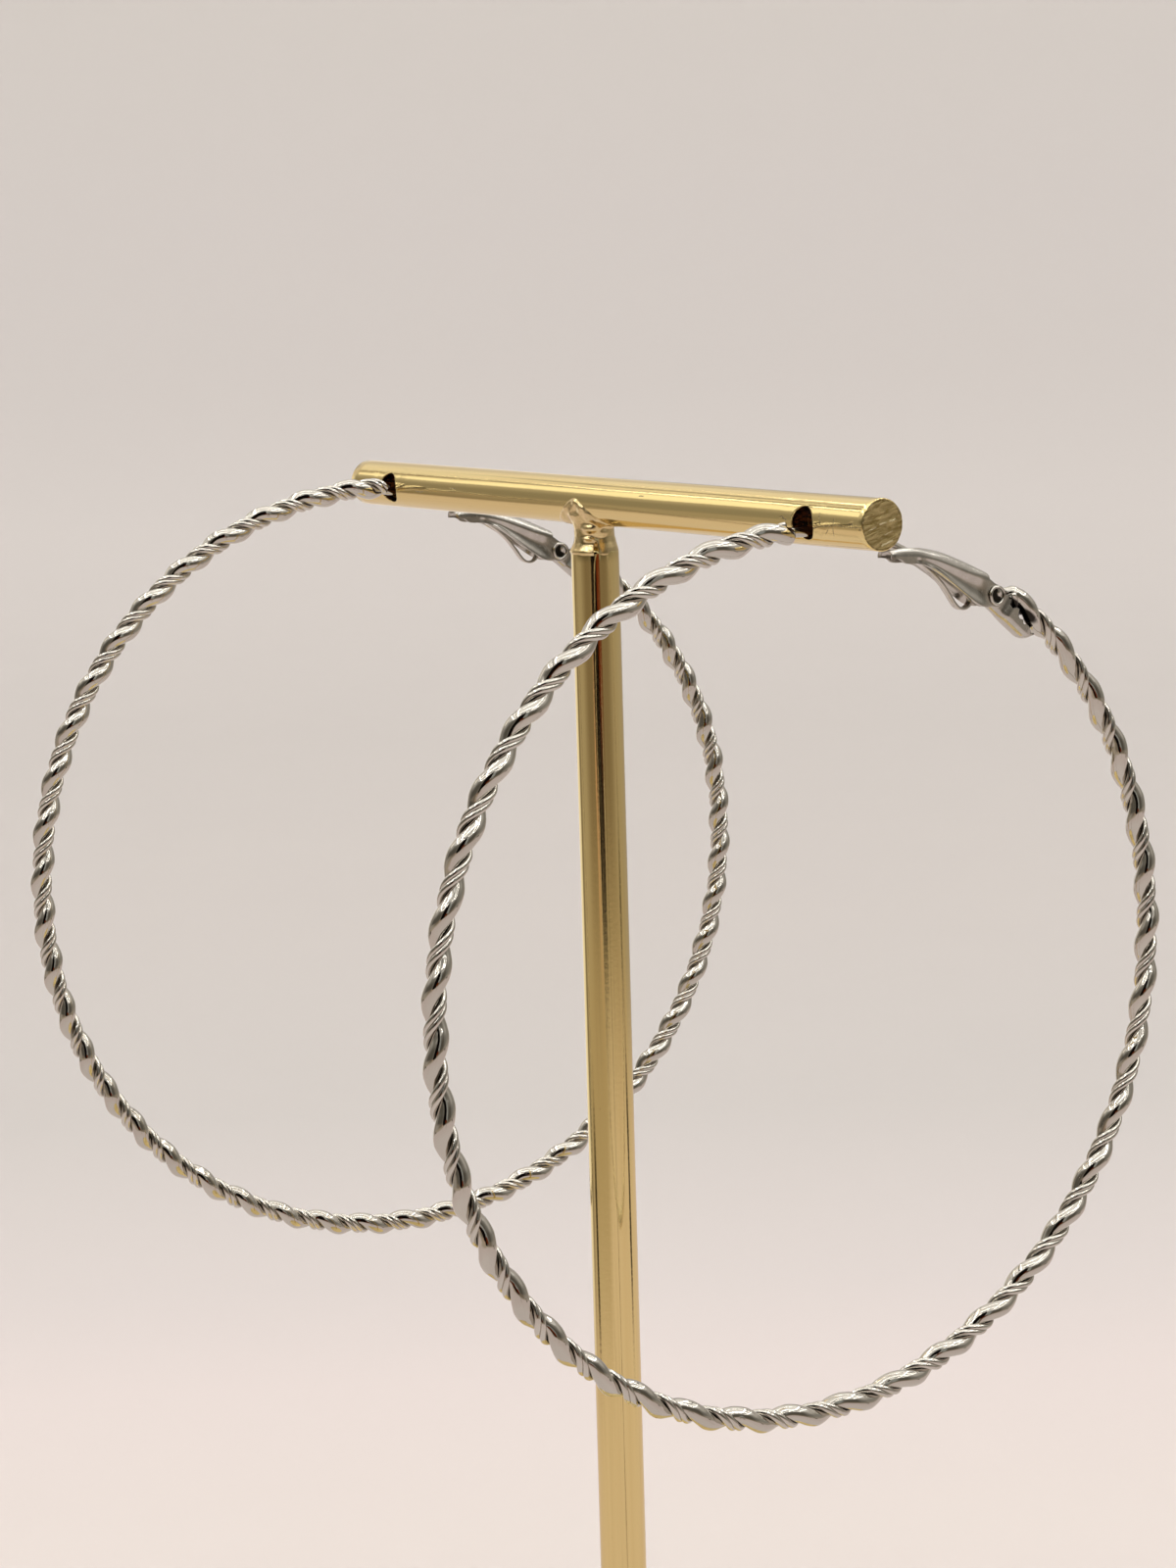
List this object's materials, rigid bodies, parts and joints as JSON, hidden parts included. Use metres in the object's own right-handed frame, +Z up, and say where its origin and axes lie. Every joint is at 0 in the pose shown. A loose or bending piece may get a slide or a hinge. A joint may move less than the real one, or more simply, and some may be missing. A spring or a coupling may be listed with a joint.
{
  "type": "pair of hoop earrings on a T-bar stand",
  "caption": "Large round hoop earrings of twisted silver wire with hinged lever clasps, hanging by their pins from drilled holes in a gold-coloured T-bar stand.",
  "frame": {"origin": "centre of the underside of the round foot, on the surface it stands on", "axes": "+Z up along the post, X along the bar, the hoops' ear pins run through the bar along Y"},
  "size_m": [0.073, 0.0714, 0.116],
  "materials": {
    "stand_metal": "polished, lightly scratched",
    "hoop_metal": "polished silver colour"
  },
  "bodies": {
    "stand_and_hoops": {"stand_frame": "stand_metal", "stand_base": "stand_metal", "hoop_front_ring": "hoop_metal", "hoop_front_rivet": "hoop_metal", "hoop_back_ring": "hoop_metal", "hoop_back_rivet": "hoop_metal"},
    "front_lever": {"hoop_front_lever": "hoop_metal", "hoop_front_spring": "hoop_metal"},
    "back_lever": {"hoop_back_lever": "hoop_metal", "hoop_back_spring": "hoop_metal"}
  },
  "joints": [
    {"name": "front_clasp", "type": "hinge", "parent": "stand_and_hoops", "child": "front_lever", "pos_m": [0.03053, 0.01645, 0.10692], "axis": [-0.9998, 0.0148, -0.0147], "range_deg": [0, 80]},
    {"name": "back_clasp", "type": "hinge", "parent": "stand_and_hoops", "child": "back_lever", "pos_m": [-0.02737, 0.0147, 0.10708], "axis": [-0.9923, 0.1231, -0.0159], "range_deg": [0, 80]}
  ]
}
